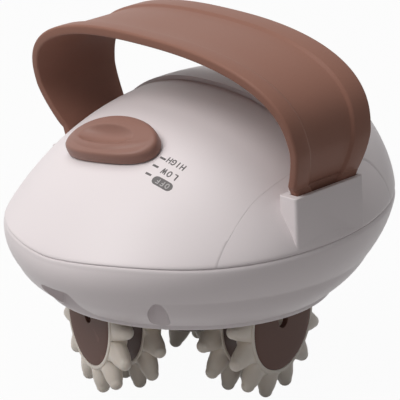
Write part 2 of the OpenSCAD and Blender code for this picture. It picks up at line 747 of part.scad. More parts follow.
module roller_table() color(DARK_BROWN) difference() {
    union() {
        at_table() translate([0, 0, hub_low_z]) cylinder(r = hub_r, h = table_top_z - hub_low_z);
        at_table() translate([0, 0, table_top_z - table_disc]) cylinder(r = table_r, h = table_disc);
        for (i = [0 : 2]) at_roller(i) cylinder(r = boss_r, h = boss_end);
    }
    for (i = [0 : 2]) at_roller(i) translate([0, 0, axle_start]) cylinder(r = axle_r, h = 30);
    at_table() translate([0, 0, table_top_z - shaft_sink]) cylinder(r = shaft_r, h = shaft_sink + 1);
    at_table() translate([0, 0, hub_low_z - 1])
        cylinder(r = hub_bore_r, h = table_top_z - shaft_sink - screw_roof - hub_low_z + 1);
    at_table() translate([0, 0, hub_low_z])
        cylinder(r = table_screw_r + gap / 2, h = table_top_z - shaft_sink - hub_low_z + 1);
}

module table_screw() color(STEEL) at_table()
    translate([0, 0, table_top_z - shaft_sink - screw_roof - 2]) screw(table_screw_r, 9, 3.4, 2);

module axle(i) color(STEEL) at_roller(i) difference() {
    translate([0, 0, axle_start]) cylinder(r = axle_r, h = axle_end - axle_start);
    translate([0, 0, axle_end - axle_bore]) cylinder(r = axle_screw_r, h = axle_bore + 1);
}

axle_bore = 8;
axle_screw_r = 1.25;
washer_r = 4.2;
cap_thick = 1.8;
cap_radius = disc_radius - 1.5;
// Turns of the wheels as the photograph shows them, rollers 1 to 3
outer_turns = [15.3, 0.5, 10];
inner_turns = [4.7, 16.5, 17];

// A wheel of soft fingers; turn is the angle of its first finger from straight down
module wheel(i, row) color(IVORY) at_roller(i) difference() {
    turn = row == outer_row ? outer_turns[i] : inner_turns[i];
    union() {
        translate([0, 0, row - disc_width / 2]) cylinder(r = disc_radius, h = disc_width, $fn = 72);
        for (k = [0 : finger_count - 1]) translate([0, 0, row])
            rotate([0, 0, turn + 360 * k / finger_count]) rotate([0, 90, 0]) finger();
    }
    translate([0, 0, row - 10]) cylinder(r = axle_r + running, h = 20);
    if (row == outer_row) {
        translate([0, 0, row + disc_width / 2 - cap_thick])
            cylinder(r = cap_radius, h = cap_thick + 1, $fn = 72);
        translate([0, 0, axle_end - 0.1]) cylinder(r = washer_r + gap, h = disc_width);
    } else {
        translate([0, 0, row - disc_width / 2 - 1])
            cylinder(r = cap_radius, h = cap_thick + 1, $fn = 72);
    }
}

// A cone with flat sides flush with the disc's faces, and a round tip
module finger() {
    flat = disc_width - 0.4;
    root = disc_radius - 1;
    intersection() {
        translate([0, 0, root])
            cylinder(r1 = finger_root / 2, r2 = tip_r, h = finger_reach - tip_r - root, $fn = 24);
        translate([-flat / 2, -finger_root, root - 1])
            cube([flat, 2 * finger_root, finger_reach - root]);
    }
    translate([0, 0, finger_reach - tip_r]) sphere(r = tip_r, $fn = 24);
}

module outer_cap(i) color(BROWN) at_roller(i) difference() {
    translate([0, 0, outer_row + disc_width / 2 - cap_thick])
        cylinder(r = cap_radius, h = cap_thick, $fn = 72);
    translate([0, 0, outer_row]) cylinder(r = 1.5, h = 10);
}

module inner_cap(i) color(BROWN) at_roller(i) difference() {
    translate([0, 0, inner_row - disc_width / 2])
        cylinder(r = cap_radius, h = cap_thick, $fn = 72);
    translate([0, 0, inner_row - 10]) cylinder(r = axle_r + running, h = 20);
}

module spacer(i) color(DARK_BROWN) at_roller(i) difference() {
    translate([0, 0, inner_row + disc_width / 2])
        cylinder(r = disc_radius - 1, h = outer_row - inner_row - disc_width, $fn = 72);
    translate([0, 0, inner_row]) cylinder(r = axle_r + running, h = 20);
}

// Washer-head screw in the end of an axle, under the outer cap
module axle_screw(i) color(STEEL) at_roller(i) translate([0, 0, axle_end]) {
    cylinder(r = washer_r, h = 0.6);
    translate([0, 0, 2.3]) rotate([180, 0, 0]) screw(axle_screw_r, 6, 2.4, 1.8);
}

front_cover();
rear_cover();
side_cover_left();
side_cover_right();
lower_housing();
housing_screws();
handle_strap();
handle_screws();
speed_knob();
knob_carrier();
switch_lever();
switch_body();
control_board();
board_screws();
power_jack();
gear_plate();
plate_screws();
table_bush();
motor_plate();
motor_plate_screws();
motor();
motor_screws();
motor_shaft();
motor_pinion();
compound_gear();
compound_pin();
drive_gear();
table_shaft();
shaft_clip();
roller_table();
table_screw();
axle(0);  // axle_1
axle(1);  // axle_2
axle(2);  // axle_3
wheel(0, inner_row);  // inner_wheel_1
wheel(1, inner_row);  // inner_wheel_2
wheel(2, inner_row);  // inner_wheel_3
wheel(0, outer_row);  // outer_wheel_1
wheel(1, outer_row);  // outer_wheel_2
wheel(2, outer_row);  // outer_wheel_3
inner_cap(0);  // inner_cap_1
inner_cap(1);  // inner_cap_2
inner_cap(2);  // inner_cap_3
outer_cap(0);  // outer_cap_1
outer_cap(1);  // outer_cap_2
outer_cap(2);  // outer_cap_3
spacer(0);  // spacer_1
spacer(1);  // spacer_2
spacer(2);  // spacer_3
axle_screw(0);  // axle_screw_1
axle_screw(1);  // axle_screw_2
axle_screw(2);  // axle_screw_3
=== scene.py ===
from math import acos, asin, atan2, cos, degrees, exp, hypot, pi, radians, sin, sqrt

import bmesh
import bpy
from mathutils import Matrix, Vector


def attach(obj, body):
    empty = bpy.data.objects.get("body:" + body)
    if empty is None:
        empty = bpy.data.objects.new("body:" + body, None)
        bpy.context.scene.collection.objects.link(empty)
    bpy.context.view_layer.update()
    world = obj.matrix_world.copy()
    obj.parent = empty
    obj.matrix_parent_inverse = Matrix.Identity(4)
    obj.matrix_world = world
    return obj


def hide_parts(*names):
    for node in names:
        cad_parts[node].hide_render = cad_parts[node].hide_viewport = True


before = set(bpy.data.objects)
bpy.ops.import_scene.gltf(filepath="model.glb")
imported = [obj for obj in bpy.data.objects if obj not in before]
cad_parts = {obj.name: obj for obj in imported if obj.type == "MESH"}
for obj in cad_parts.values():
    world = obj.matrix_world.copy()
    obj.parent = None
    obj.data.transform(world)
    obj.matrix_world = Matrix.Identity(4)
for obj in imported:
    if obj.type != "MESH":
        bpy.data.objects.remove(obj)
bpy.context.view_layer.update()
print("frame loaded with", len(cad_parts), "nodes")

mm = 0.001

# the parting plane dips towards the nose, and the covers, strap and knob are made in its own frame
level = dict(noseDip=3.7, partingZ=65.8)
tiltMatrix = (Matrix.Translation((0, 0, level["partingZ"]))
              @ Matrix.Rotation(radians(level["noseDip"]), 4, "X"))


# small mesh tools, in millimetres until toObject

def gridFaces(bm, rows, closed=False):
    verts = [[bm.verts.new(p) for p in row] for row in rows]
    count = len(rows[0])
    for low, high in zip(verts, verts[1:]):
        for i in range(count if closed else count - 1):
            k = (i + 1) % count
            bm.faces.new((low[i], low[k], high[k], high[i]))
    return verts


def capRow(bm, row):
    bm.faces.new(row)


def latheRows(profile, steps):
    # profile is (radius, height) pairs about +Z
    return [[Vector((r * cos(2 * pi * i / steps), r * sin(2 * pi * i / steps), z)) for i in range(steps)]
            for r, z in profile]


def roundedProfile(corners, radius, steps=4):
    # replaces each inner corner of a (r, z) polyline by a short arc
    out = [corners[0]]
    for a, b, c in zip(corners, corners[1:], corners[2:]):
        a, b, c = Vector(a), Vector(b), Vector(c)
        d, e = (a - b), (c - b)
        reach = min(radius, d.length * 0.45, e.length * 0.45)
        p, q = b + d.normalized() * reach, b + e.normalized() * reach
        for k in range(steps + 1):
            t = k / steps
            out.append(tuple((1 - t) ** 2 * p + 2 * t * (1 - t) * b + t * t * q))
    return out + [corners[-1]]


def tidyMesh(bm, merge=1e-3):
    bmesh.ops.remove_doubles(bm, verts=bm.verts, dist=merge)
    bmesh.ops.dissolve_degenerate(bm, edges=bm.edges, dist=merge / 2)
    bmesh.ops.recalc_face_normals(bm, faces=bm.faces)


def toObject(name, bm, place=None, sharp=None):
    tidyMesh(bm)
    if place is not None:
        bmesh.ops.transform(bm, matrix=place, verts=bm.verts)
    bmesh.ops.scale(bm, vec=(mm, mm, mm), verts=bm.verts)
    mesh = bpy.data.meshes.new(name)
    bm.to_mesh(mesh)
    bm.free()
    mesh.shade_smooth()
    if sharp:
        mesh.set_sharp_from_angle(angle=radians(sharp))
    piece = bpy.data.objects.new(name, mesh)
    bpy.context.scene.collection.objects.link(piece)
    return piece


def softenEdges(piece, width, segments=3, angle=40):
    bevel = piece.modifiers.new("softEdges", "BEVEL")
    bevel.width = width * mm
    bevel.segments = segments
    bevel.limit_method = "ANGLE"
    bevel.angle_limit = radians(angle)
    bevel.harden_normals = True
    bevel.use_clamp_overlap = True
    return piece


def settle(piece):
    # turns the modifiers into the piece's own mesh
    graph = bpy.context.evaluated_depsgraph_get()
    made = bpy.data.meshes.new_from_object(piece.evaluated_get(graph))
    piece.modifiers.clear()
    piece.data = made
    return piece


def carve(piece, cutters, operation="DIFFERENCE"):
    for cutter in cutters:
        step = piece.modifiers.new("carve", "BOOLEAN")
        step.operation = operation
        step.solver = "EXACT"
        step.object = cutter
    settle(piece)
    for cutter in cutters:
        bpy.data.objects.remove(cutter)
    return piece


def dress(piece, material, body, nodes=()):
    piece.data.materials.clear()
    piece.data.materials.append(material)
    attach(piece, body)
    if nodes:
        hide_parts(*nodes)
    return piece


# finishes

def newGroup(name, inputs, outputs):
    group = bpy.data.node_groups.new(name, "ShaderNodeTree")
    for label, kind, value in inputs:
        socket = group.interface.new_socket(label, in_out="INPUT", socket_type=kind)
        socket.default_value = value
    for label, kind in outputs:
        group.interface.new_socket(label, in_out="OUTPUT", socket_type=kind)
    return group, group.nodes.new("NodeGroupInput"), group.nodes.new("NodeGroupOutput")


def link(tree, a, b):
    tree.links.new(a, b)


def mathNode(tree, operation, a, b=None, clamp=False):
    node = tree.nodes.new("ShaderNodeMath")
    node.operation = operation
    node.use_clamp = clamp
    for socket, value in zip(node.inputs, (a, b)):
        if value is None:
            continue
        if isinstance(value, (int, float)):
            socket.default_value = value
        else:
            link(tree, value, socket)
    return node.outputs[0]


def aboutZero(tree, noise, share):
    # the noise moved to lie about zero, times its share
    return mathNode(tree, "MULTIPLY", mathNode(tree, "SUBTRACT", noise.outputs["Fac"], 0.5), share)


def makeMouldTone():
    # slow drifts and fine flecks of tone, as moulded plastic has
    group, given, out = newGroup("mouldTone", [
        ("Color", "NodeSocketColor", (0.8, 0.8, 0.8, 1)), ("Drift", "NodeSocketFloat", 0.04),
        ("Fleck", "NodeSocketFloat", 0.03), ("Drift Scale", "NodeSocketFloat", 30.0),
        ("Fleck Scale", "NodeSocketFloat", 900.0), ("Roughness", "NodeSocketFloat", 0.3),
        ("Roughness Shift", "NodeSocketFloat", 0.05)],
        [("Color", "NodeSocketColor"), ("Roughness", "NodeSocketFloat")])
    place = group.nodes.new("ShaderNodeTexCoord")
    slow = group.nodes.new("ShaderNodeTexNoise")
    slow.inputs["Detail"].default_value = 3
    fine = group.nodes.new("ShaderNodeTexNoise")
    fine.inputs["Detail"].default_value = 2
    link(group, place.outputs["Object"], slow.inputs["Vector"])
    link(group, place.outputs["Object"], fine.inputs["Vector"])
    link(group, given.outputs["Drift Scale"], slow.inputs["Scale"])
    link(group, given.outputs["Fleck Scale"], fine.inputs["Scale"])
    drift = aboutZero(group, slow, given.outputs["Drift"])
    fleck = aboutZero(group, fine, given.outputs["Fleck"])
    tone = mathNode(group, "ADD", mathNode(group, "ADD", drift, fleck), 1.0)
    shade = group.nodes.new("ShaderNodeVectorMath")
    shade.operation = "SCALE"
    link(group, given.outputs["Color"], shade.inputs[0])
    link(group, tone, shade.inputs["Scale"])
    link(group, shade.outputs[0], out.inputs["Color"])
    shift = aboutZero(group, slow, given.outputs["Roughness Shift"])
    rough = mathNode(group, "ADD", shift, given.outputs["Roughness"], clamp=True)
    link(group, rough, out.inputs["Roughness"])
    return group


def makePaintedEdgeLight():
    # painted light on the convex edges, found by pointiness: a pale edge colour paints a highlight there, a
    # dark one paints shade
    group, given, out = newGroup("paintedEdgeLight", [
        ("Color", "NodeSocketColor", (0.8, 0.8, 0.8, 1)), ("Edge Color", "NodeSocketColor", (1, 1, 1, 1)),
        ("Amount", "NodeSocketFloat", 0.3), ("From", "NodeSocketFloat", 0.52),
        ("To", "NodeSocketFloat", 0.6)],
        [("Color", "NodeSocketColor")])
    bend = group.nodes.new("ShaderNodeNewGeometry")
    span = group.nodes.new("ShaderNodeMapRange")
    link(group, bend.outputs["Pointiness"], span.inputs["Value"])
    link(group, given.outputs["From"], span.inputs["From Min"])
    link(group, given.outputs["To"], span.inputs["From Max"])
    mask = mathNode(group, "MULTIPLY", span.outputs["Result"], given.outputs["Amount"], clamp=True)
    blend = group.nodes.new("ShaderNodeMix")
    blend.data_type = "RGBA"
    link(group, mask, blend.inputs["Factor"])
    link(group, given.outputs["Color"], blend.inputs["A"])
    link(group, given.outputs["Edge Color"], blend.inputs["B"])
    link(group, blend.outputs["Result"], out.inputs["Color"])
    return group


def makeMouldGrain():
    # height of a spark-eroded mould's fine grain over a faint wave of the wall
    group, given, out = newGroup("mouldGrain", [
        ("Grain Scale", "NodeSocketFloat", 2500.0), ("Grain", "NodeSocketFloat", 1.0),
        ("Wave Scale", "NodeSocketFloat", 60.0), ("Wave", "NodeSocketFloat", 0.5)],
        [("Height", "NodeSocketFloat")])
    place = group.nodes.new("ShaderNodeTexCoord")
    grain = group.nodes.new("ShaderNodeTexNoise")
    wave = group.nodes.new("ShaderNodeTexNoise")
    wave.inputs["Detail"].default_value = 1
    for node, scale in ((grain, "Grain Scale"), (wave, "Wave Scale")):
        link(group, place.outputs["Object"], node.inputs["Vector"])
        link(group, given.outputs[scale], node.inputs["Scale"])
    height = mathNode(group, "ADD", mathNode(group, "MULTIPLY", grain.outputs["Fac"], given.outputs["Grain"]),
                      mathNode(group, "MULTIPLY", wave.outputs["Fac"], given.outputs["Wave"]))
    link(group, height, out.inputs["Height"])
    return group


def makeTurnedLines():
    # fine lathe or rolling lines of a metal
    group, given, out = newGroup("turnedLines", [("Scale", "NodeSocketFloat", 1500.0)],
                                 [("Height", "NodeSocketFloat")])
    place = group.nodes.new("ShaderNodeTexCoord")
    stretch = group.nodes.new("ShaderNodeMapping")
    stretch.inputs["Scale"].default_value = (0.04, 0.04, 1)
    lines = group.nodes.new("ShaderNodeTexNoise")
    link(group, place.outputs["Object"], stretch.inputs["Vector"])
    link(group, stretch.outputs[0], lines.inputs["Vector"])
    link(group, given.outputs["Scale"], lines.inputs["Scale"])
    link(group, lines.outputs["Fac"], out.inputs["Height"])
    return group


groups = dict(tone=makeMouldTone(), edgeLight=makePaintedEdgeLight(), grain=makeMouldGrain(), lines=makeTurnedLines())


# what all the moulded finishes share
mould = dict(driftScale=30.0, grain=1.0, grainScale=2500.0, wave=0.4, waveScale=60.0)


def finish(name, color, drift=0.05, fleck=0.03, rough=0.3, roughShift=0.06, edge=None, paintedEdgeAmount=0.0,
           bump=0.05, metal=0.0, specular=0.5, subsurface=0.0, lines=False):
    material = bpy.data.materials.new(name)
    material.use_nodes = True
    tree = material.node_tree
    shader = tree.nodes["Principled BSDF"]
    tone = tree.nodes.new("ShaderNodeGroup")
    tone.node_tree = groups["tone"]
    for label, value in (("Color", (*color, 1)), ("Drift", drift), ("Fleck", fleck),
                         ("Drift Scale", mould["driftScale"]), ("Roughness", rough),
                         ("Roughness Shift", roughShift)):
        tone.inputs[label].default_value = value
    tint = tone.outputs["Color"]
    # the edge colour is painted light on the convex edges: paler than the body it is a painted highlight,
    # darker it is painted shade
    if edge:
        edgeLight = tree.nodes.new("ShaderNodeGroup")
        edgeLight.node_tree = groups["edgeLight"]
        edgeLight.inputs["Edge Color"].default_value = (*edge, 1)
        edgeLight.inputs["Amount"].default_value = paintedEdgeAmount
        link(tree, tint, edgeLight.inputs["Color"])
        tint = edgeLight.outputs["Color"]
    link(tree, tint, shader.inputs["Base Color"])
    link(tree, tone.outputs["Roughness"], shader.inputs["Roughness"])
    relief = tree.nodes.new("ShaderNodeGroup")
    relief.node_tree = groups["lines" if lines else "grain"]
    if not lines:
        for label, key in (("Grain", "grain"), ("Wave", "wave"), ("Grain Scale", "grainScale"),
                           ("Wave Scale", "waveScale")):
            relief.inputs[label].default_value = mould[key]
    dents = tree.nodes.new("ShaderNodeBump")
    dents.inputs["Strength"].default_value = bump
    dents.inputs["Distance"].default_value = 0.1 * mm
    link(tree, relief.outputs["Height"], dents.inputs["Height"])
    link(tree, dents.outputs["Normal"], shader.inputs["Normal"])
    shader.inputs["Metallic"].default_value = metal
    shader.inputs["Specular IOR Level"].default_value = specular
    if subsurface:
        shader.inputs["Subsurface Weight"].default_value = subsurface
        shader.inputs["Subsurface Radius"].default_value = (1.0, 0.7, 0.5)
        shader.inputs["Subsurface Scale"].default_value = 1.5 * mm
    return material


# the edge colours paint a highlight on the convex edges of the shell, strap, knob and caps, and paint shade
# on the fingers' edges
shellWhite = finish("shellWhite", (0.79, 0.73, 0.74), drift=0.02, fleck=0.015, rough=0.42, roughShift=0.05,
                    edge=(0.88, 0.84, 0.85), paintedEdgeAmount=0.25, bump=0.02, specular=0.2)
strapBrown = finish("strapBrown", (0.262, 0.128, 0.094), drift=0.08, fleck=0.06, rough=0.48, roughShift=0.08,
                    edge=(0.40, 0.24, 0.19), paintedEdgeAmount=0.5, bump=0.08, specular=0.13)
knobBrown = finish("knobBrown", (0.27, 0.142, 0.112), drift=0.06, fleck=0.05, rough=0.42, roughShift=0.06,
                   edge=(0.36, 0.21, 0.17), paintedEdgeAmount=0.4, bump=0.06, specular=0.25)
capBrown = finish("capBrown", (0.12, 0.058, 0.044), drift=0.08, fleck=0.06, rough=0.5, roughShift=0.08,
                  edge=(0.2, 0.1, 0.08), paintedEdgeAmount=0.4, bump=0.08, specular=0.15)
tableBrown = finish("tableBrown", (0.05, 0.026, 0.021), drift=0.15, fleck=0.1, rough=0.55, bump=0.1)
fingerIvory = finish("fingerIvory", (0.80, 0.73, 0.65), drift=0.06, fleck=0.04, rough=0.45, roughShift=0.1,
                     edge=(0.7, 0.65, 0.6), paintedEdgeAmount=0.3, bump=0.06, subsurface=0.12, specular=0.3)
gearPlastic = finish("gearPlastic", (0.72, 0.69, 0.62), drift=0.06, fleck=0.04, rough=0.45, bump=0.05)
blackPlastic = finish("blackPlastic", (0.025, 0.025, 0.028), drift=0.2, fleck=0.2, rough=0.4, bump=0.1)
boardGreen = finish("boardGreen", (0.02, 0.13, 0.05), drift=0.2, fleck=0.3, rough=0.35, bump=0.1)
brassTurned = finish("brassTurned", (0.70, 0.52, 0.2), drift=0.1, fleck=0.1, rough=0.3, metal=1.0,
                     bump=0.15, lines=True)
steelDrawn = finish("steelDrawn", (0.58, 0.59, 0.61), drift=0.1, fleck=0.1, rough=0.26, metal=1.0,
                    bump=0.15, lines=True)
markGrey = finish("markGrey", (0.085, 0.075, 0.075), drift=0.15, fleck=0.25, rough=0.5, bump=0.05)
markPale = finish("markPale", (0.42, 0.40, 0.40), drift=0.15, fleck=0.25, rough=0.5, bump=0.05)
print("finishes made")


# the dome and its covers

dome = dict(halfLength=75.0, halfWidth=67.3, egg=-0.03, height=47.3, lean=16.6, power=1.3, root=2.21,
            wall=1.9, rearStep=1.6, seamX=52.2, seamFlare=3.0, seamFlareTop=17.5, seamGap=0.05,
            splitY=8.0, splitGap=0.15, edge=0.12, sag=4.9, lift=1.7, liftFrom=26.0, liftWide=22.0,
            liftFade=0.25, rollIn=0.55, rollUp=1.7, columns=132, lowRows=34, highRows=26, topRows=24,
            sideColumns=96, sideRows=40)


def shrinkAt(t):
    return max(1 - t ** dome["power"], 0) ** (1 / dome["root"])


def partingLift(angle):
    # the parting line rides up a little on both sides of the nose
    fromNose = abs((angle + 90 + 180) % 360 - 180)
    return dome["lift"] * exp(-((fromNose - dome["liftFrom"]) / dome["liftWide"]) ** 2)


def domePoint(angle, t, off=0.0, extra=0.0):
    s = shrinkAt(t)
    a = radians(angle)
    return Vector(((dome["halfWidth"] * s + off) * cos(a) * (1 + dome["egg"] * sin(a)),
                   (dome["halfLength"] * s + off) * sin(a) + dome["lean"] * t,
                   t * (dome["height"] + off + extra - dome["sag"] * t ** 3)
                   + partingLift(angle) * max(0.0, 1 - t / dome["liftFade"]) ** 2))


def coverPoint(angle, t, off=0.0, extra=0.0):
    # the outer face rolls in a little over the parting line
    z = t * dome["height"]
    if off == 0 and z < dome["rollUp"]:
        off = -dome["rollIn"] * (1 - sqrt(1 - (1 - z / dome["rollUp"]) ** 2))
    return domePoint(angle, t, off, extra)


def splitAngle(t, y, off):
    reach = dome["halfLength"] * shrinkAt(t) + off
    lean = (y - dome["lean"] * t) / reach if reach > 1e-6 else -2
    return degrees(asin(max(-1, min(1, lean))))


def seamXAt(z):
    # the seams lean out a little towards the parting line
    return dome["seamX"] + dome["seamFlare"] * max(0.0, 1 - z / dome["seamFlareTop"])


def seamAngle(t, off, side, gap=0.0):
    # where the ring at t crosses the seam, on the nose side (-1) or the tail side (+1)
    reach = dome["halfWidth"] * shrinkAt(t) + off
    x = seamXAt(t * dome["height"]) + gap
    a = 0.0
    for _ in range(30):
        ratio = x / (reach * (1 + dome["egg"] * sin(a))) if reach > 1e-6 else 2
        if ratio >= 1:
            return 0.0
        a = side * acos(ratio)
    return degrees(a)


def solveT(test, low=0.0, high=1.0):
    # largest t at which test still holds
    for _ in range(50):
        mid = (low + high) / 2
        low, high = (mid, high) if test(mid) else (low, mid)
    return low


def spaced(low, high, count, power=1.0):
    return [low + (high - low) * (1 - (1 - i / count) ** power) for i in range(count + 1)]


def frontRows(off):
    y = dome["splitY"]

    def edgeAt(t):
        seam = seamAngle(t, off, -1) or 90
        return min(seam, splitAngle(t, y, off))
    corner = solveT(lambda t: seamAngle(t, off, -1) < min(0, splitAngle(t, y, off)), 0, 0.7)
    top = solveT(lambda t: splitAngle(t, y, off) > -89.999)
    levels = edgeLevels() + spaced(edgeLevels()[-1], corner, dome["lowRows"])[1:]
    levels += spaced(corner, top, dome["highRows"], 1.7)[1:]
    rows = []
    for t in levels:
        a = edgeAt(t)
        rows.append([coverPoint(-180 - a + (180 + 2 * a) * i / dome["columns"], t, off)
                     for i in range(dome["columns"] + 1)])
    return rows, len(rows)


def edgeLevels():
    # close rows for the rolled edge at the parting line
    return [dome["rollUp"] / dome["height"] * (1 - cos(pi / 2 * k / 6)) for k in range(7)]


def rearRows(off):
    y, extra = dome["splitY"] + dome["splitGap"], dome["rearStep"]
    corner = solveT(lambda t: seamAngle(t, off, 1) > 0)
    closing = solveT(lambda t: splitAngle(t, y, off) > -89.999)
    start = edgeLevels()[-1]
    lowLevels = edgeLevels() + [start + (corner - start) * sin(pi / 2 * i / dome["lowRows"])
                                for i in range(1, dome["lowRows"] + 1)]
    levels = lowLevels + spaced(corner, closing, dome["highRows"], 1.7)[1:]
    levels += spaced(closing, 1, dome["topRows"], 1.8)[1:]
    rows = []
    for t in levels:
        if t <= corner:
            a = seamAngle(t, off, 1)
        elif t < closing:
            a = splitAngle(t, y, off)
        else:
            a = -90
        rows.append([coverPoint(a + (180 - 2 * a) * i / dome["columns"], t, off, extra)
                     for i in range(dome["columns"] + 1)])
    return rows, len(lowLevels) + dome["highRows"]


def sideRows(off):
    gap, count = dome["seamGap"], dome["sideColumns"]
    top = solveT(lambda t: dome["halfWidth"] * shrinkAt(t) + off > seamXAt(t * dome["height"]) + gap)
    rows = []
    for t in edgeLevels() + spaced(edgeLevels()[-1], top, dome["sideRows"], 1.8)[1:]:
        a, b = seamAngle(t, off, -1, gap), seamAngle(t, off, 1, gap)
        rows.append([coverPoint(a + (b - a) * i / count, t, off) for i in range(count + 1)])
    return rows, len(rows)


def shellPiece(name, rowMaker, place=tiltMatrix):
    bm = bmesh.new()
    outerRows, openRows = rowMaker(0)
    innerRows, _ = rowMaker(-dome["wall"])
    outer, inner = gridFaces(bm, outerRows), gridFaces(bm, innerRows)
    for i in range(len(outerRows[0]) - 1):
        bm.faces.new((outer[0][i], outer[0][i + 1], inner[0][i + 1], inner[0][i]))
    for k in range(openRows - 1):
        for col in (0, -1):
            bm.faces.new((outer[k][col], outer[k + 1][col], inner[k + 1][col], inner[k][col]))
    return toObject(name, bm, place)


def makeFrontCover():
    piece = softenEdges(shellPiece("frontCover", frontRows), dome["edge"])
    return dress(piece, shellWhite, "housing", ["front_cover"])


def makeRearCover():
    piece = softenEdges(shellPiece("rearCover", rearRows), dome["edge"] * 1.4)
    return dress(piece, shellWhite, "housing", ["rear_cover"])


socket = dict(front=-16.3, back=17.1, outerX=65.9, innerX=57.7, height=20.0, corner=1.2, rim=0.4,
              footX=60.4, footThick=3.6, footHalf=14.6, footY=1.2, slack=0.3, leftDrop=8.0, leftIn=2.8,
              blockFoot=0.6, pocketFoot=6.0, pocketOver=4.0, pocketCorner=0.8)


def roundedBox(low, high, radius, steps=5, topRadius=0.0):
    # upright box with rounded vertical corners and a rounded upper rim
    def ring(z, inset):
        r = max(radius - inset, 0.05)
        points = []
        right, rear, left, front = high[0] - radius, high[1] - radius, low[0] + radius, low[1] + radius
        for quarter, (cx, cy) in enumerate(((right, rear), (left, rear), (left, front), (right, front))):
            for k in range(steps + 1):
                a = radians(90 * quarter + 90 * k / steps)
                points.append(Vector((cx + r * cos(a), cy + r * sin(a), z)))
        return points
    rows = [ring(low[2], 0)]
    for k in range(steps + 1):
        a = pi / 2 * k / steps
        rows.append(ring(high[2] - topRadius * (1 - sin(a)), topRadius * (1 - cos(a))))
    bm = bmesh.new()
    verts = gridFaces(bm, rows, closed=True)
    capRow(bm, verts[0])
    capRow(bm, verts[-1])
    return bm


def makeSideCover(side, name, node):
    # the left collar is lower, and its foot runs inwards
    s = socket
    place = tiltMatrix @ Matrix.Scale(side, 4, (1, 0, 0))
    inward, top = (s["leftIn"], s["height"] - s["leftDrop"]) if side < 0 else (0, s["height"])
    piece = shellPiece(name, sideRows, place)
    block = roundedBox((s["innerX"], s["front"], s["blockFoot"]), (s["outerX"], s["back"], top),
                       s["corner"], topRadius=s["rim"])
    carve(piece, [toObject("block", block, place)], "UNION")
    foot, half = s["footX"] - inward, s["footHalf"]
    pocket = roundedBox(
        (foot - s["slack"], s["footY"] - half - s["slack"], s["pocketFoot"]),
        (foot + s["footThick"] + s["slack"], s["footY"] + half + s["slack"], top + s["pocketOver"]),
        s["pocketCorner"])
    carve(piece, [toObject("pocket", pocket, place)])
    softenEdges(piece, 0.12, angle=50)
    return dress(piece, shellWhite, "housing", [node])


# lower housing

lower = dict(lipRadius=52.5, lipZ=36.0, lipRim=1.6, tableY=-6.366, creaseY=-3.7, creaseHalfW=60.57,
             creaseHalfL=67.725, creaseZ=48.9, rim=1.9, wellRadius=50.16, bowlBulge=1.6, bandBulge=1.3,
             roofZ=61.95, columns=180, screwR=3.7, screwDraw=3.0, screwSeatZ=50.0, screwReach=56.45,
             screwAngles=(-53, -127, 53, 127), recessHalf=8.3, recessTop=48.7, recessBack=-59.3,
             recessFoot=-58.95, recessLean=0.03, recessCorner=2.4, recessMouth=-82.0)


def housingRow(kind, height=0.0, off=0.0):
    row = []
    for i in range(lower["columns"]):
        a = 2 * pi * i / lower["columns"]
        if kind == "lip":
            r = lower["lipRadius"] + off
            row.append(Vector((r * cos(a), lower["tableY"] + r * sin(a), height)))
        elif kind == "crease":
            row.append(Vector(((lower["creaseHalfW"] + off) * cos(a),
                               lower["creaseY"] + (lower["creaseHalfL"] + off) * sin(a), height)))
        else:
            p = domePoint(degrees(a), 0, off)
            row.append(tiltMatrix @ Vector((p.x, p.y, p.z + height)))
    return row


def mixRows(a, b, t, bulge=0.0):
    out = []
    for p, q in zip(a, b):
        m = p.lerp(q, t)
        away = Vector((m.x, m.y + 4, 0)).normalized()
        out.append(m + away * bulge * 4 * t * (1 - t))
    return out


def makeLowerHousing():
    lip = housingRow("lip", lower["lipZ"] + lower["lipRim"] + 0.1, 0.1)
    crease = housingRow("crease", lower["creaseZ"])
    seat = housingRow("parting", -lower["rim"])
    well = lower["wellRadius"] - lower["lipRadius"]
    # the lip's rounded edge, as height over it and distance from its radius
    edge = [(0.9, well), (0.35, well + 0.15), (0.05, well + 0.6), (0.0, -0.9), (0.1, -0.35),
            (0.45, 0.0), (1.1, 0.1)]
    rows = [housingRow("lip", lower["lipZ"] + up, off) for up, off in edge]
    bowl = [0.0, 0.08, 0.2, 0.35, 0.5, 0.65, 0.8, 0.9, 0.97]
    rows += [mixRows(lip, crease, t, lower["bowlBulge"]) for t in bowl]
    band = [0.02, 0.06, 0.15, 0.3, 0.45, 0.6, 0.75, 0.88, 0.96]
    rows += [mixRows(crease, seat, t, lower["bandBulge"]) for t in band]
    turn = [pi / 2 * k / 7 for k in range(8)]
    rows += [housingRow("parting", -lower["rim"] + (lower["rim"] - 0.12) * sin(a), -0.75 * (1 - cos(a)))
             for a in turn]
    rows += [housingRow("parting", up, off) for up, off in ((-0.14, -1.2), (-1.2, -1.9), (-1.6, -3.0))]
    rows += [[Vector((p.x, p.y, lower["roofZ"])) for p in housingRow("lip", 0, off)] for off in (1.4, well)]
    bm = bmesh.new()
    verts = gridFaces(bm, rows, closed=True)
    last, first = verts[-1], verts[0]
    for i in range(lower["columns"]):
        k = (i + 1) % lower["columns"]
        bm.faces.new((last[i], last[k], first[k], first[i]))
    piece = toObject("lowerHousing", bm)

    carve(piece, [makeWellCutter(angle) for angle in lower["screwAngles"]] + [makeRecessCutter()])
    softenEdges(piece, 0.3, angle=38)
    return dress(piece, shellWhite, "housing", ["lower_housing"])


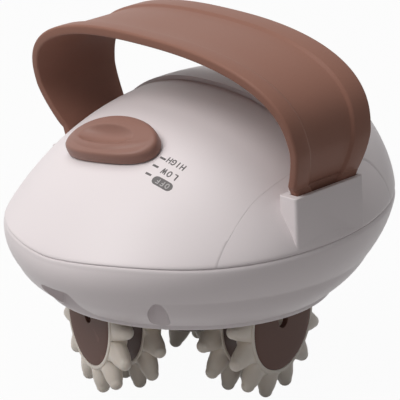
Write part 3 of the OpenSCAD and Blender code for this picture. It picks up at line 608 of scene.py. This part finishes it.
def makeWellCutter(angle):
    # a round screw well that is drawn out towards the bowl
    x = lower["screwReach"] * cos(radians(angle))
    y = lower["tableY"] + lower["screwReach"] * sin(radians(angle))
    seat = lower["screwSeatZ"]
    rings = []
    for z, inset in ((lower["lipZ"] - 3, -0.1), (seat - 0.6, 0), (seat - 0.2, 0.2), (seat, 0.6)):
        r = lower["screwR"] - inset
        rings.append([Vector((r * cos(b) + (lower["screwDraw"] if cos(b) > 0 else 0), r * sin(b), z))
                      for b in [2 * pi * (k + 0.5) / 40 for k in range(40)]])
    bm = bmesh.new()
    ends = gridFaces(bm, rings, closed=True)
    capRow(bm, ends[0])
    capRow(bm, ends[-1])
    return toObject("hole", bm, Matrix.Translation((x, y, 0)) @ Matrix.Rotation(radians(angle), 4, "Z"))


def makeRecessCutter():
    # straight sides, rounded upper corners and a back wall that leans in towards the lip
    w, top, corner = lower["recessHalf"], lower["recessTop"], lower["recessCorner"]
    half = [(w, lower["lipZ"] - 1), (w, lower["lipZ"] + 2), (w, lower["lipZ"] + 5)]
    half += [(w - corner + corner * cos(a), top - corner + corner * sin(a))
             for a in [pi / 2 * k / 6 for k in range(7)]]
    outline = half + [(-x, z) for x, z in reversed(half)]

    def backAt(z):
        return min(lower["recessFoot"], lower["recessBack"] + (top - z) * lower["recessLean"])
    rows = [[Vector((x, lower["recessMouth"], z)) for x, z in outline]]
    for k in range(5):
        a = pi / 2 * k / 4
        rows.append([Vector((x * (1 - 0.08 * (1 - cos(a))), backAt(z) - 0.8 * (1 - sin(a)),
                             z - 0.7 * (1 - cos(a)) * (z > top - 6))) for x, z in outline])
    bm = bmesh.new()
    verts = gridFaces(bm, rows, closed=True)
    capRow(bm, verts[0])
    capRow(bm, verts[-1])
    return toObject("recess", bm)


frontCover = makeFrontCover()
makeRearCover()
makeSideCover(1, "sideCoverRight", "side_cover_right")
makeSideCover(-1, "sideCoverLeft", "side_cover_left")
makeLowerHousing()
print("covers and housing made")


# strap

strap = dict(span=66.1, shoulder=37.3, rise=27.8, power=2.4, risePower=2.72, foot=60.4, footZ=6.4,
             socketZ=20.0, legZ=23.0, legPower=1.4, legEase=9.0, frontY=-13.4, rearY=15.8, frontGrow=12.0,
             rearGrow=3.2, frontPower=0.84, rearPower=0.3, thick=3.6, frontBand=7.0, rearBand=9.0, leftIn=2.8,
             step=0.95, outerRound=1.1, innerRound=0.7)


def legEase(z):
    # 0 at the end of the arch's leg, 1 where the left foot enters its cover
    f = min(1.0, max(0.0, (strap["legZ"] - z) / strap["legEase"]))
    return f * (2 - f)


def strapPath():
    s = strap
    leg = [(s["foot"], s["footZ"] + (s["socketZ"] - s["footZ"]) * i / 4) for i in range(5)]
    leg += [(s["foot"], s["legZ"] - 1.4)]
    for i in range(18):
        t = i / 18
        leg.append((s["span"] - (s["span"] - s["foot"]) * (1 - t) ** s["legPower"],
                    s["legZ"] + (s["shoulder"] - s["legZ"]) * t))
    arch = []
    steps = 120
    for i in range(steps + 1):
        a = pi * i / steps
        c, h = cos(a), sin(a)
        arch.append((s["span"] * (1 if c >= 0 else -1) * abs(c) ** (2 / s["power"]),
                     s["shoulder"] + s["rise"] * abs(h) ** (2 / s["risePower"])))
    inward = [(x - s["leftIn"] * legEase(z), z) for x, z in leg]
    return leg + arch + [(-x, z) for x, z in reversed(inward)]


def strapHalf(half, band):
    # one half of the section, from the middle of the outer face round the edge to the inner face
    s = strap
    t, step, edge = s["thick"], s["step"], half - band
    side = [(0, t - step), (edge * 0.5, t - step), (edge - 1.0, t - step)]
    for k in range(1, 9):
        u = k / 8
        side.append((edge - 1.0 + 1.8 * u, t - step + step * u * u * (3 - 2 * u)))
    side += [(half - band * 0.5, t + 0.04)]
    r = s["outerRound"]
    side += [(half - r + r * sin(a), t - r + r * cos(a)) for a in [pi / 2 * k / 6 for k in range(7)]]
    r = s["innerRound"]
    side += [(half - r + r * cos(a), r - r * sin(a)) for a in [pi / 2 * k / 4 for k in range(5)]]
    return side + [(half * 0.6, 0), (half * 0.3, 0), (0, 0)]


def strapSection(half):
    rear, front = strapHalf(half, strap["rearBand"]), strapHalf(half, strap["frontBand"])
    return rear + [(-v, w) for v, w in reversed(front[1:-1])]


def makeStrap():
    s = strap
    path = strapPath()
    rows = []
    for i, (x, z) in enumerate(path):
        a, b = path[max(i - 1, 0)], path[min(i + 1, len(path) - 1)]
        dx, dz = b[0] - a[0], b[1] - a[1]
        reach = hypot(dx, dz)
        nx, nz = dz / reach, -dx / reach
        climb = min(1.0, max(0.0, (z - s["socketZ"]) / (s["shoulder"] + s["rise"] - s["socketZ"])))
        front = s["frontY"] - s["frontGrow"] * climb ** s["frontPower"]
        rear = s["rearY"] + s["rearGrow"] * climb ** s["rearPower"]
        rows.append([Vector((x + nx * w, (front + rear) / 2 + v, z + nz * w))
                     for v, w in strapSection((rear - front) / 2)])
    bm = bmesh.new()
    verts = gridFaces(bm, rows, closed=True)
    capRow(bm, verts[0])
    capRow(bm, verts[-1])
    piece = toObject("handleStrap", bm, tiltMatrix, sharp=60)
    return dress(piece, strapBrown, "housing", ["handle_strap"])


makeStrap()
print("strap made")


# knob and its marks

knob = dict(place=0.68, lift=0.8, rise=3.7, halfWide=20.9, shift=-3.2, turn=8.5, up=10.8, down=9.6,
            downPower=2.3, round=1.2, sit=0.4, scoopX=13.0, scoopY=4.9, scoopMid=0.4, scoopShift=-1.5,
            scoopDepth=2.9, ridge=0.4, restLift=0.07, slotHalfX=3.5, slotHalfY=6.5, slotDepth=8.0,
            slotOver=4.0, slotCorner=0.8)


def backLine(t):
    return Vector((0, dome["lean"] * t - dome["halfLength"] * shrinkAt(t),
                   t * (dome["height"] - dome["sag"] * t ** 3)))


knobRun = backLine(knob["place"] + 0.02) - backLine(knob["place"] - 0.02)
knobMatrix = (Matrix.Translation(backLine(knob["place"]))
              @ Matrix.Rotation(atan2(knobRun.z, knobRun.y), 4, "X"))


def insideDome(p, off):
    t = 0.7
    for _ in range(12):
        t = min(1.0, max(0.0, p.z / (dome["height"] + off - dome["sag"] * t ** 3)))
    if t >= 1:
        return False
    s = shrinkAt(t)
    dy = p.y - dome["lean"] * t
    a = atan2(dy / dome["halfLength"], p.x / dome["halfWidth"])
    rx = (dome["halfWidth"] * s + off) * (1 + dome["egg"] * sin(a))
    ry = dome["halfLength"] * s + off
    return (p.x / rx) ** 2 + (dy / ry) ** 2 < 1


def onDome(x, y, off):
    # point of the knob frame's (x, y) on the dome grown by off, in the parting plane's frame
    low, high = -40.0, 20.0
    for _ in range(34):
        mid = (low + high) / 2
        if insideDome(knobMatrix @ Vector((x, y, mid)), off):
            low = mid
        else:
            high = mid
    return knobMatrix @ Vector((x, y, low))


def knobOutline(a):
    c, s = cos(a), sin(a)
    p = 2 / knob["downPower"]
    x, y = knob["halfWide"] * c, knob["up"] * s
    if s < 0:
        x, y = knob["halfWide"] * (1 if c > 0 else -1) * abs(c) ** p, -knob["down"] * abs(s) ** p
    return turned(x, y, radians(knob["turn"]))


def turned(x, y, a):
    return x * cos(a) - y * sin(a), x * sin(a) + y * cos(a)


def knobTop(x, y):
    k = knob
    x, y = turned(x, y, -radians(k["turn"]))
    q = ((x - k["scoopShift"]) / k["scoopX"]) ** 2 + ((y - k["scoopMid"]) / k["scoopY"]) ** 2
    dent = k["scoopDepth"] * (1 - q) ** 1.05 if q < 1 else 0
    tilt = max(0.0, (k["scoopMid"] + 2.5 - y) / 8)
    ridgeY = -5.8 + 4.9 * (x / 17) ** 2
    bump = k["ridge"] * max(0.0, 1 - ((y - ridgeY) / 1.6) ** 2) * max(0.0, 1 - (x / 19) ** 4)
    return k["lift"] + k["rise"] - dent * (1 - 0.25 * min(tilt, 1)) + bump


def underLift(y):
    # the underside clears the cover's bend over the whole slide
    return knob["restLift"] * max(0.0, y)


def cutStemSlot(cover):
    x, y = knob["slotHalfX"], knob["slotHalfY"]
    slot = roundedBox((-x, -y, -knob["slotDepth"]), (x, y, knob["slotOver"]), knob["slotCorner"])
    return carve(cover, [toObject("stemSlot", slot, tiltMatrix @ knobMatrix)])


def makeKnob():
    columns, rings = 120, 40
    full = knob["lift"] + knob["rise"]
    rows = []
    for i in range(rings + 1):
        rho = i / rings
        rho = 1 - (1 - rho) ** 1.15
        rim = max(0.0, (rho - 0.9) / 0.1)
        row = []
        for j in range(columns):
            ox, oy = knobOutline(2 * pi * j / columns)
            x, y = ox * rho, oy * rho
            drop = knob["round"] * (1 - sqrt(max(0.0, 1 - rim ** 2)))
            row.append(onDome(x + knob["shift"], y, knobTop(x, y) - drop))
        rows.append(row)
    for h in (full - knob["round"] - 0.5, full * 0.45, knob["sit"] + 0.25, knob["sit"]):
        lifted = h < full * 0.4
        inset = 0.0 if h > knob["sit"] + 0.1 else 0.25
        grow = 1 + 0.012 * (full - h) / full
        row = []
        for j in range(columns):
            ox, oy = knobOutline(2 * pi * j / columns)
            shrink = grow - inset / hypot(ox, oy)
            row.append(onDome(ox * shrink + knob["shift"], oy * shrink, h + underLift(oy) * lifted))
        rows.append(row)
    rows.append([onDome(p[0] * 0.9 + knob["shift"], p[1] * 0.9, knob["sit"] + underLift(p[1])) for p in
                 [knobOutline(2 * pi * j / columns) for j in range(columns)]])
    bm = bmesh.new()
    verts = gridFaces(bm, rows, closed=True)
    capRow(bm, verts[-1])
    piece = toObject("speedKnob", bm, tiltMatrix, sharp=50)
    return dress(piece, knobBrown, "knob", ["speed_knob"])


# a word is its letters, its right end, its middle, its letters' size and spacing, and half its stroke
marks = dict(lift=0.05, root=0.1, tickX=18.8, tickLong=2.5, tickHalf=0.42, rows=(2.0, -2.0, -6.0),
             high=("HIGH", 29.3, 2.5, 2.15, 1.95, 0.21), low=("LOW", 29.7, -2.3, 2.15, 2.35, 0.21),
             off=("OFF", 29.6, -6.7, 1.8, 2.0, 0.15), patchLeft=22.6, patchRight=30.9, patchY=-6.7,
             patchHalf=1.75, patchColumns=28)

# strokes of the letters in a box one unit wide and high
letters = {
    "H": [[(0.12, 0), (0.12, 1)], [(0.82, 0), (0.82, 1)], [(0.12, 0.5), (0.82, 0.5)]],
    "I": [[(0.45, 0), (0.45, 1)]],
    "G": [[(0.85, 0.85), (0.65, 1.0), (0.35, 1.0), (0.12, 0.75), (0.12, 0.25), (0.35, 0), (0.65, 0),
           (0.85, 0.2), (0.85, 0.5), (0.55, 0.5)]],
    "L": [[(0.15, 1), (0.15, 0), (0.75, 0)]],
    "O": [[(0.35, 0), (0.6, 0), (0.85, 0.25), (0.85, 0.75), (0.6, 1), (0.35, 1), (0.12, 0.75),
           (0.12, 0.25), (0.35, 0)]],
    "W": [[(0.0, 1), (0.22, 0), (0.47, 0.9), (0.72, 0), (0.94, 1)]],
    "F": [[(0.15, 0), (0.15, 1), (0.8, 1)], [(0.15, 0.52), (0.65, 0.52)]],
}


def flatPatch(bm, outline, lift):
    # thin printed shape on the front cover
    top = [bm.verts.new(onDome(x, y, lift)) for x, y in outline]
    base = [bm.verts.new(onDome(x, y, -marks["root"])) for x, y in outline]
    bm.faces.new(top)
    for i in range(len(outline)):
        k = (i + 1) % len(outline)
        bm.faces.new((top[i], top[k], base[k], base[i]))
    bm.faces.new(list(reversed(base)))


def strokeOutline(a, b, half):
    d = Vector((b[0] - a[0], b[1] - a[1]))
    reach = d.length
    d /= reach
    n = Vector((-d.y, d.x))
    out = []
    for centre, start in ((b, 0), (a, pi)):
        for k in range(7):
            ang = start - pi / 2 + pi * k / 6
            out.append((centre[0] + half * (d.x * cos(ang) + n.x * sin(ang)),
                        centre[1] + half * (d.y * cos(ang) + n.y * sin(ang))))
    return out


def addWord(bm, word, rightX, midY, size, pitch, half, lift):
    # the words read from the strap's side, so they run from +X to -X
    for i, ch in enumerate(word):
        for line in letters[ch]:
            pts = [(rightX - i * pitch - u * size * 0.8, midY + size / 2 - v * size) for u, v in line]
            for a, b in zip(pts, pts[1:]):
                flatPatch(bm, strokeOutline(a, b, half), lift)


def makeMarks():
    m = marks
    bm = bmesh.new()
    for y in m["rows"]:
        a, b, h = m["tickX"], m["tickX"] + m["tickLong"], m["tickHalf"]
        steps = 6
        outline = [(a + (b - a) * k / steps, y - h) for k in range(steps + 1)]
        outline += [(b - (b - a) * k / steps, y + h) for k in range(steps + 1)]
        flatPatch(bm, outline, m["lift"])
    addWord(bm, *m["high"], m["lift"])
    addWord(bm, *m["low"], m["lift"])
    piece = toObject("speedMarks", bm, tiltMatrix, sharp=30)
    dress(piece, markGrey, "housing")

    bm = bmesh.new()
    r, a, b = m["patchHalf"], m["patchLeft"] + m["patchHalf"], m["patchRight"] - m["patchHalf"]
    rowsUp = []
    # the patch follows the cover's bend, so it is made of narrow strips
    for k in range(m["patchColumns"] + 1):
        x = m["patchLeft"] + (m["patchRight"] - m["patchLeft"]) * k / m["patchColumns"]
        reach = r
        if x < a:
            reach = sqrt(max(r * r - (x - a) ** 2, 0.0025))
        elif x > b:
            reach = sqrt(max(r * r - (x - b) ** 2, 0.0025))
        face = [onDome(x, m["patchY"] + reach * v, m["lift"] * 0.8) for v in (-1, -0.6, -0.2, 0.2, 0.6, 1)]
        rowsUp.append(face + [onDome(x, m["patchY"] + reach * v, -m["root"]) for v in (1, 0, -1)])
    verts = gridFaces(bm, rowsUp, closed=True)
    capRow(bm, verts[0])
    capRow(bm, verts[-1])
    patch = toObject("offPatch", bm, tiltMatrix, sharp=30)
    dress(patch, markGrey, "housing")

    bm = bmesh.new()
    addWord(bm, *m["off"], m["lift"] * 1.8)
    dress(toObject("offWord", bm, tiltMatrix, sharp=30), markPale, "housing")


cutStemSlot(frontCover)
makeKnob()
makeMarks()
print("knob and marks made")


# rollers

roller = dict(tableY=-6.366, axleZ=29.3, turn=12.7, fingers=13, reach=29.3, tipR=2.5, disc=20.0, width=7.2,
              rim=0.45, outer=37.2, inner=24.1, capR=18.5, capThick=1.8, capBump=0.18, boltR=2.55, eyeR=2.9,
              outerTurns=(15.3, 0.5, 10.0), innerTurns=(4.7, 16.5, 17.0))


def rollerPlace(i):
    return (Matrix.Translation((0, roller["tableY"], roller["axleZ"]))
            @ Matrix.Rotation(radians(roller["turn"] + 120 * i), 4, "Z") @ Matrix.Rotation(pi / 2, 4, "Y"))


def fingerRings():
    # distance from the axle, half width round the wheel and along the axle, blend to the cell's outline
    r = roller
    centre = r["reach"] - r["tipR"]
    rings = [(centre + r["tipR"] * cos(a), r["tipR"] * sin(a), r["tipR"] * sin(a), 0.0)
             for a in [pi / 2 * k / 8 for k in range(1, 9)]]
    rings += [(26.2, 2.82, 2.75, 0.0), (25.4, 3.18, 3.0, 0.0), (24.5, 3.54, 3.22, 0.0),
              (23.5, 3.84, 3.37, 0.0), (22.5, 4.08, 3.46, 0.02), (21.7, 4.28, 3.5, 0.08),
              (21.0, 4.48, 3.52, 0.2), (20.5, 4.66, 3.54, 0.45), (20.1, 4.75, 3.55, 0.8),
              (20.0, 4.8, 3.55, 1.0)]
    return rings


def roundWall(bm, profile, steps, phase):
    # turns (radius, place along the axle) pairs round the axle
    gridFaces(bm, [[Vector((q * cos(2 * pi * s / steps + phase), q * sin(2 * pi * s / steps + phase), z))
                    for s in range(steps)] for q, z in profile], closed=True)


def makeWheel(i, kind, hubSide):
    r = roller
    row, phase = r[kind], radians(r[kind + "Turns"][i])
    bm = bmesh.new()
    n, rim = r["fingers"], r["rim"]
    around = 32
    halfW, halfCell = r["width"] / 2, pi / n
    for k in range(n):
        mid = phase + 2 * pi * k / n
        rows = []
        for dist, wide, deep, mix in fingerRings():
            ring = []
            for j in range(around):
                b = 2 * pi * j / around
                tangent, axial = wide * cos(b), deep * sin(b)
                # the same direction on the cell's outline
                m = max(abs(cos(b)) / (halfCell * r["disc"]), abs(sin(b)) / (halfW - rim))
                cellT, cellA = cos(b) / m, sin(b) / m
                tangent, axial = tangent * (1 - mix) + cellT * mix, axial * (1 - mix) + cellA * mix
                swing = tangent / r["disc"]
                flat = Vector((dist, tangent, 0))
                bent = Vector((dist * cos(swing), dist * sin(swing), 0))
                p = flat.lerp(bent, mix)
                ca, sa = cos(mid), sin(mid)
                ring.append(Vector((p.x * ca - p.y * sa, p.x * sa + p.y * ca, row + axial)))
            rows.append(ring)
        tip = Vector((r["reach"] * cos(mid), r["reach"] * sin(mid), row))
        verts = gridFaces(bm, rows, closed=True)
        crown = bm.verts.new(tip)
        for j in range(around):
            bm.faces.new((verts[0][j], verts[0][(j + 1) % around], crown))
    # side walls from the rim of the cells to the caps' seats and the bore
    steps = n * 8
    for side in (-1, 1):
        face = row + side * halfW
        profile = [(r["disc"], row + side * (halfW - rim))]
        profile += [(r["disc"] - rim + rim * cos(a), face - side * rim * (1 - sin(a)))
                    for a in (pi / 8, pi / 4, 3 * pi / 8)]
        profile += [(r["disc"] - rim, face)]
        if side == hubSide:
            seat, lap = face - side * r["capThick"], r["capR"] + 0.05
            profile += [(r["capR"] + 0.12, face), (lap, face - side * 0.08), (lap, seat), (r["boltR"], seat)]
        else:
            profile += [(r["boltR"], face)]
        roundWall(bm, profile, steps, phase)
    # the bore ends at the cap's seat on the hub's side
    low = row - halfW + (r["capThick"] if hubSide < 0 else 0)
    high = row + halfW - (r["capThick"] if hubSide > 0 else 0)
    roundWall(bm, [(r["boltR"], low), (r["boltR"], high)], steps, phase)
    piece = toObject("%sWheel%d" % (kind, i + 1), bm, rollerPlace(i), sharp=40)
    return dress(piece, fingerIvory, "roller_%d" % (i + 1), ["%s_wheel_%d" % (kind, i + 1)])


def makeCap(i, kind, side):
    r = roller
    face = r[kind] + side * r["width"] / 2
    hole = r["eyeR"] if kind == "outer" else r["boltR"]
    back = face - side * r["capThick"]
    bump = side * r["capBump"]
    corners = [(hole, back), (hole, face + bump * 0.9), (hole + 0.6, face + bump), (6, face + bump),
               (12, face + bump * 0.8), (16, face + bump * 0.4), (r["capR"], face - side * 0.05),
               (r["capR"], back), (hole, back)]
    bm = bmesh.new()
    gridFaces(bm, latheRows(roundedProfile(corners, 0.4), 96), closed=True)
    piece = toObject("%sCap%d" % (kind, i + 1), bm, rollerPlace(i), sharp=40)
    return dress(piece, capBrown, "roller_%d" % (i + 1), ["%s_cap_%d" % (kind, i + 1)])


for i in range(3):
    makeWheel(i, "inner", -1)
    makeWheel(i, "outer", 1)
    makeCap(i, "outer", 1)
    makeCap(i, "inner", -1)
print("rollers made")


# the CAD nodes that stay

kept = {
    steelDrawn: ["housing_screws", "handle_screws", "board_screws", "plate_screws", "motor_plate",
                 "motor_plate_screws", "motor", "motor_screws", "motor_shaft", "compound_pin", "table_shaft",
                 "shaft_clip", "table_screw", "axle_1", "axle_2", "axle_3", "axle_screw_1", "axle_screw_2",
                 "axle_screw_3", "switch_body"],
    blackPlastic: ["knob_carrier", "power_jack"],
    boardGreen: ["control_board"],
    gearPlastic: ["gear_plate", "compound_gear", "drive_gear", "switch_lever"],
    brassTurned: ["table_bush", "motor_pinion"],
    tableBrown: ["roller_table", "spacer_1", "spacer_2", "spacer_3"],
}
for material, names in kept.items():
    for name in names:
        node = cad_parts[name]
        node.data.materials.clear()
        node.data.materials.append(material)
print("kept nodes given their finishes")


# stage, lights and camera

stage = dict(floorSize=6.0, floorColor=(0.44, 0.435, 0.435), worldStrength=0.19, floorWhite=0.96)


def cameraWhite(tree):
    # what the camera, glossy and clear rays see is plain white
    path = tree.nodes.new("ShaderNodeLightPath")
    bounced = mathNode(tree, "MAXIMUM", path.outputs["Is Glossy Ray"], path.outputs["Is Transmission Ray"])
    return mathNode(tree, "MAXIMUM", path.outputs["Is Camera Ray"], bounced)


def makeFloor():
    bm = bmesh.new()
    half = stage["floorSize"] / 2
    steps = 12
    places = [-half + 2 * half * i / steps for i in range(steps + 1)]
    gridFaces(bm, [[Vector((x, y, 0)) for x in places] for y in places])
    mesh = bpy.data.meshes.new("floor")
    bm.to_mesh(mesh)
    bm.free()
    floor = bpy.data.objects.new("floor", mesh)
    bpy.context.scene.collection.objects.link(floor)
    material = bpy.data.materials.new("paleFloor")
    material.use_nodes = True
    tree = material.node_tree
    tree.nodes.clear()
    out = tree.nodes.new("ShaderNodeOutputMaterial")
    matt = tree.nodes.new("ShaderNodeBsdfDiffuse")
    matt.inputs["Color"].default_value = (*stage["floorColor"], 1)
    glow = tree.nodes.new("ShaderNodeEmission")
    seen = cameraWhite(tree)
    mix = tree.nodes.new("ShaderNodeMixShader")
    share = mathNode(tree, "MULTIPLY", seen, stage["floorWhite"])
    link(tree, share, mix.inputs[0])
    link(tree, matt.outputs[0], mix.inputs[1])
    link(tree, glow.outputs[0], mix.inputs[2])
    link(tree, mix.outputs[0], out.inputs["Surface"])
    floor.data.materials.append(material)
    return floor


def makeWorld():
    world = bpy.data.worlds.new("studio")
    bpy.context.scene.world = world
    world.use_nodes = True
    tree = world.node_tree
    tree.nodes.clear()
    out = tree.nodes.new("ShaderNodeOutputWorld")
    soft = tree.nodes.new("ShaderNodeBackground")
    soft.inputs["Color"].default_value = (1.0, 0.99, 0.985, 1)
    soft.inputs["Strength"].default_value = stage["worldStrength"]
    white = tree.nodes.new("ShaderNodeBackground")
    white.inputs["Color"].default_value = (1, 1, 1, 1)
    mix = tree.nodes.new("ShaderNodeMixShader")
    link(tree, cameraWhite(tree), mix.inputs[0])
    link(tree, soft.outputs[0], mix.inputs[1])
    link(tree, white.outputs[0], mix.inputs[2])
    link(tree, mix.outputs[0], out.inputs["Surface"])


lamps = {
    "keySoftbox": dict(place=(-0.24, -0.92, 1.15), size=0.8, power=12.0, tint=(1.0, 0.985, 0.975)),
    "topSoftbox": dict(place=(-0.12, -0.15, 1.45), size=0.9, power=7.0, tint=(1.0, 0.99, 0.985)),
}


def makeLamps():
    aim = Vector((0, 0, 0.07))
    for name, lamp in lamps.items():
        light = bpy.data.lights.new(name, "AREA")
        light.shape = "DISK"
        light.size = lamp["size"]
        light.energy = lamp["power"]
        light.color = lamp["tint"]
        holder = bpy.data.objects.new(name, light)
        holder.location = lamp["place"]
        holder.rotation_euler = (aim - Vector(lamp["place"])).to_track_quat("-Z", "Y").to_euler()
        bpy.context.scene.collection.objects.link(holder)


# the photograph's fitted camera, with its focal length and centre in picture points
view = dict(azimuth=47.5, elevation=17.29, roll=0.22, distance=916.4, focal=2508.9, centreX=198.22,
            centreY=201.53, target=(0.0, -2.1, 65.84), frameWide=400.0, sensor=36.0)


def makeCamera():
    az, el, roll = (radians(view[k]) for k in ("azimuth", "elevation", "roll"))
    back = Vector((sin(az) * cos(el), -cos(az) * cos(el), sin(el)))
    right = Vector((cos(az), sin(az), 0))
    up = back.cross(right)
    c, s = cos(roll), sin(roll)
    across, above = right * c - up * s, right * s + up * c
    data = bpy.data.cameras.new("photoCamera")
    data.sensor_width = view["sensor"]
    data.lens = view["focal"] / view["frameWide"] * view["sensor"]
    data.shift_x = (view["frameWide"] / 2 - view["centreX"]) / view["frameWide"]
    data.shift_y = (view["centreY"] - view["frameWide"] / 2) / view["frameWide"]
    data.clip_start, data.clip_end = 0.05, 20
    camera = bpy.data.objects.new("photoCamera", data)
    place = Matrix((across, above, back)).transposed().to_4x4()
    place.translation = (Vector(view["target"]) + back * view["distance"]) * mm
    camera.matrix_world = place
    bpy.context.scene.collection.objects.link(camera)
    bpy.context.scene.camera = camera


makeFloor()
makeWorld()
makeLamps()
makeCamera()
bpy.context.scene.view_settings.view_transform = "Standard"
print("stage, lights and camera made")
